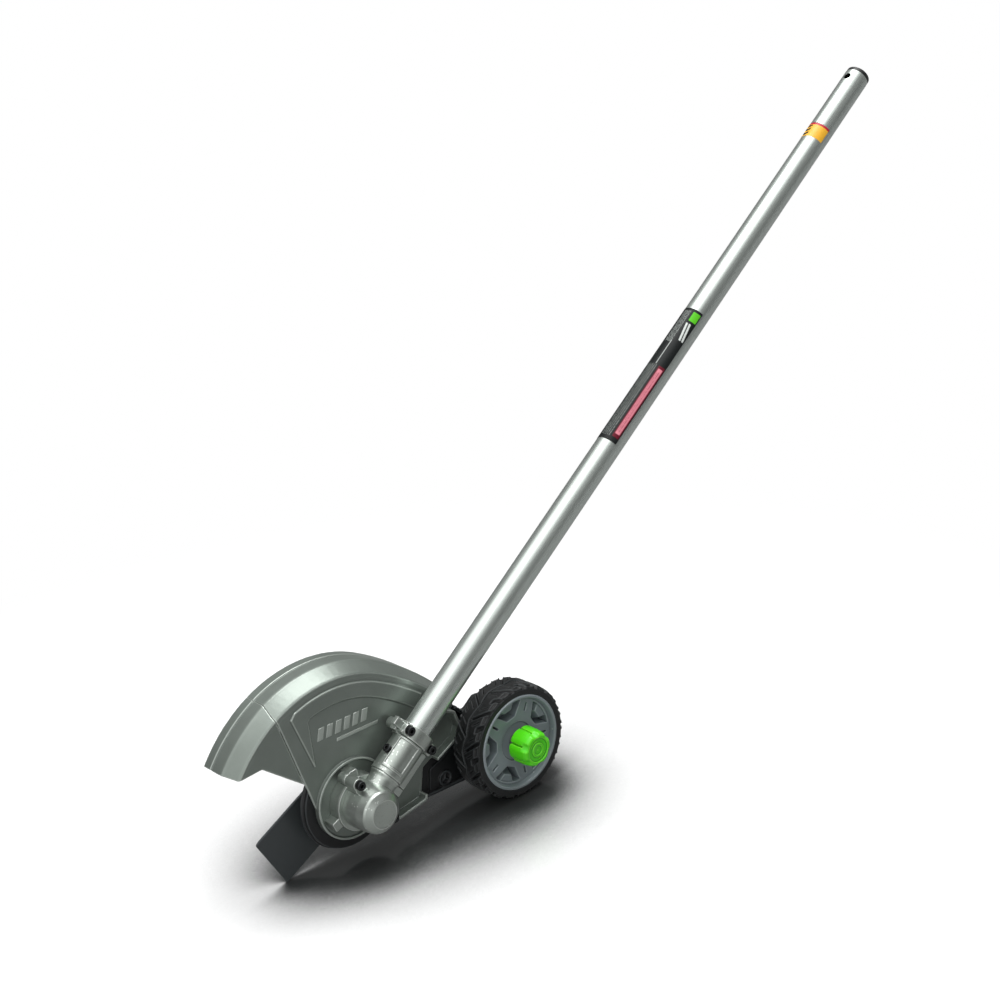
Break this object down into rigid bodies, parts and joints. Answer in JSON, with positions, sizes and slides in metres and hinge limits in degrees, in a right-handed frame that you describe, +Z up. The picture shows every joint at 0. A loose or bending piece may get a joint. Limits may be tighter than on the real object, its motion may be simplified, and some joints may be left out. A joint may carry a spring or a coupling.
{
  "type": "lawn edger attachment",
  "caption": "Straight-shaft lawn edger attachment: right-angle gear head driving a flat blade under a guard, with a depth wheel set by a clamp knob.",
  "frame": {"origin": "centre of the shaft's upper end, where the attachment enters a power head", "axes": "+X forward (towards the blade guard), +Y to the side of the depth knob, +Z up"},
  "size_m": [0.7978, 0.115, 0.7094],
  "materials": {
    "tube": "satin anodised",
    "label_black": "printed film",
    "label_yellow": "printed film",
    "label_red": "printed film",
    "shaft_steel": "ground",
    "bush_plastic": "moulded acetal",
    "cap_plastic": "moulded",
    "housing": "die cast, fine blasted",
    "black_steel": "black oxide",
    "seal_rubber": "moulded",
    "spring_steel": "phosphated",
    "bearing_steel": "polished",
    "gear_steel": "hardened",
    "guard": "satin grey-green",
    "black_plastic": "moulded, fine texture",
    "blade_steel": "black paint over steel",
    "plated_steel": "zinc plated",
    "rim": "moulded grey",
    "tyre": "moulded rubber",
    "knob": "moulded bright green",
    "brass": "turned"
  },
  "bodies": {
    "root": {"shaft_tube": "tube", "shaft_label": "label_black", "insertion_label": "label_yellow", "insertion_line": "label_red", "drive_shaft_bushes": "bush_plastic", "gear_housing": "housing", "housing_base": "housing", "clamp_cap": "housing", "clamp_screws": "black_steel", "locating_screw": "black_steel", "housing_screws": "black_steel", "shaft_seal": "seal_rubber", "bearing_circlip": "spring_steel", "pinion_bearing_outer_races": "bearing_steel", "cap_bearing_outer_race": "bearing_steel", "base_bearing_outer_race": "bearing_steel", "blade_guard": "guard", "front_flap": "guard", "flap_screws": "black_steel", "debris_shield": "black_plastic", "guard_screws": "black_steel", "wheel_bracket": "black_plastic", "bracket_screws": "black_steel"},
    "end_cap": {"end_cap": "cap_plastic"},
    "drive_line": {"drive_shaft": "shaft_steel", "pinion_shaft": "gear_steel", "pinion_bearing_inner_races": "bearing_steel", "pinion_bearing_balls": "bearing_steel"},
    "blade_unit": {"output_shaft": "shaft_steel", "driven_gear": "gear_steel", "cap_bearing_inner_race": "bearing_steel", "base_bearing_inner_race": "bearing_steel", "output_bearing_balls": "bearing_steel", "inner_flange": "plated_steel", "blade": "blade_steel", "outer_flange": "plated_steel", "blade_nut": "plated_steel"},
    "wheel_carriage": {"slider_block": "black_plastic", "axle_bolt": "plated_steel", "axle_sleeve": "plated_steel", "axle_washer": "plated_steel"},
    "depth_wheel": {"wheel_rim": "rim", "tyre": "tyre"},
    "knob": {"depth_knob": "knob", "knob_insert": "brass"}
  },
  "joints": [
    {"name": "blade_spin", "type": "hinge", "parent": "root", "child": "blade_unit", "pos_m": [0.66246, -0.0195, -0.62536], "axis": [0, 1, 0], "continuous": true},
    {"name": "drive_spin", "type": "hinge", "parent": "root", "child": "drive_line", "pos_m": [0.66246, 0, -0.62536], "axis": [-0.7272, 0, 0.6865], "continuous": true},
    {"name": "depth_adjust", "type": "slide", "parent": "root", "child": "wheel_carriage", "axis": [0, 0, 1], "range_m": [-0.017, 0.017]},
    {"name": "wheel_spin", "type": "hinge", "parent": "wheel_carriage", "child": "depth_wheel", "pos_m": [0.50016, 0.0085, -0.60386], "axis": [0, 1, 0], "continuous": true},
    {"name": "knob_turn", "type": "hinge", "parent": "wheel_carriage", "child": "knob", "pos_m": [0.50016, 0.0305, -0.60386], "axis": [0, 1, 0], "range_deg": [0, 360]},
    {"name": "end_cap_pull", "type": "slide", "parent": "root", "child": "end_cap", "axis": [-0.7272, 0, 0.6865], "range_m": [0, 0.06]}
  ],
  "couplings": [
    {"joint": "drive_spin", "follows": "blade_spin", "ratio": 1.5833}
  ]
}
